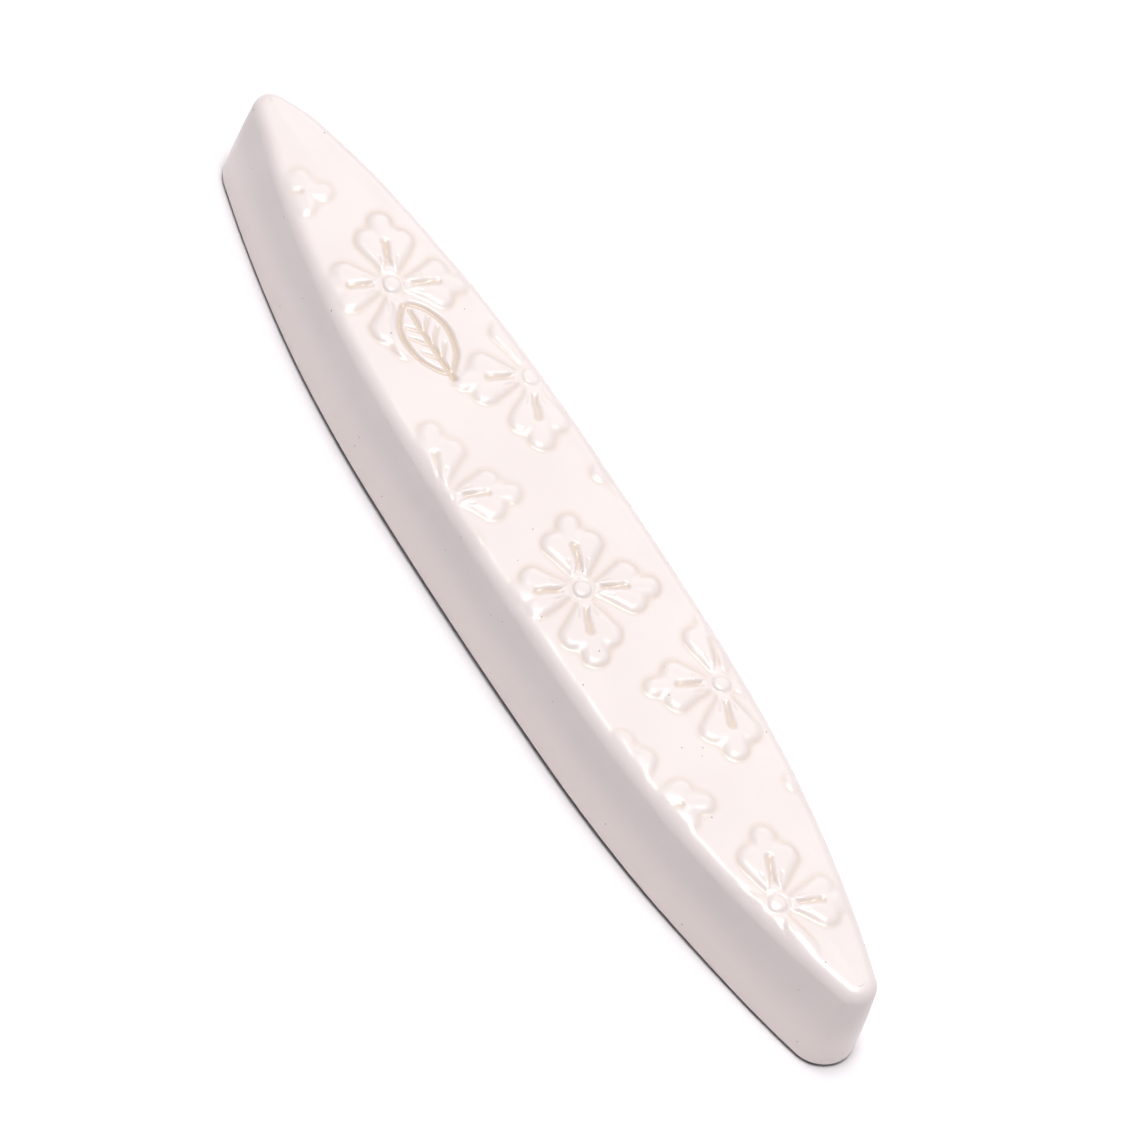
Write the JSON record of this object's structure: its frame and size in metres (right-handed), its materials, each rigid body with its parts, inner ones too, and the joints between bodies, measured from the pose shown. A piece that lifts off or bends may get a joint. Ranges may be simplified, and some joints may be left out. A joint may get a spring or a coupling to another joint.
{
  "type": "mezuzah case",
  "caption": "Slender pointed-oval ceramic doorpost case with relief flowers; lifts off a thin back plate on foam tape to show a rolled, wrapped scroll.",
  "frame": {"origin": "middle of the footprint, on the surface that the case lies on", "axes": "+Z points out of the decorated front, +Y along the case towards its upper end, +X across its width"},
  "size_m": [0.0278, 0.17, 0.0193],
  "materials": {
    "glazed_ceramic": "glossy warm white glaze, pooled slightly darker in the grooves",
    "backing_board": "matt, fine grained",
    "foam_tape": "matt closed-cell foam",
    "release_paper": "smooth, waxy",
    "parchment": "dry parchment, faintly mottled",
    "clear_film": "clear, glossy",
    "paper_band": "matt white"
  },
  "bodies": {
    "backing": {"back_plate": "backing_board", "tape_pad_upper": "foam_tape", "tape_pad_lower": "foam_tape"},
    "case": {"case_shell": "glazed_ceramic"},
    "scroll": {"parchment_scroll": "parchment", "film_wrap": "clear_film", "closing_band": "paper_band"},
    "upper_liner": {"release_liner_upper": "release_paper"},
    "lower_liner": {"release_liner_lower": "release_paper"}
  },
  "joints": [
    {"name": "case_lift", "type": "slide", "parent": "backing", "child": "case", "axis": [0, 0, 1], "range_m": [0, 0.06]},
    {"name": "scroll_lift", "type": "slide", "parent": "backing", "child": "scroll", "axis": [0, 0, 1], "range_m": [0, 0.03]},
    {"name": "upper_liner_peel", "type": "slide", "parent": "backing", "child": "upper_liner", "axis": [0, 1, 0], "range_m": [0, 0.06]},
    {"name": "lower_liner_peel", "type": "slide", "parent": "backing", "child": "lower_liner", "axis": [0, -1, 0], "range_m": [0, 0.06]}
  ],
  "couplings": [
    {"joint": "scroll_lift", "follows": "case_lift", "ratio": 0.5}
  ]
}
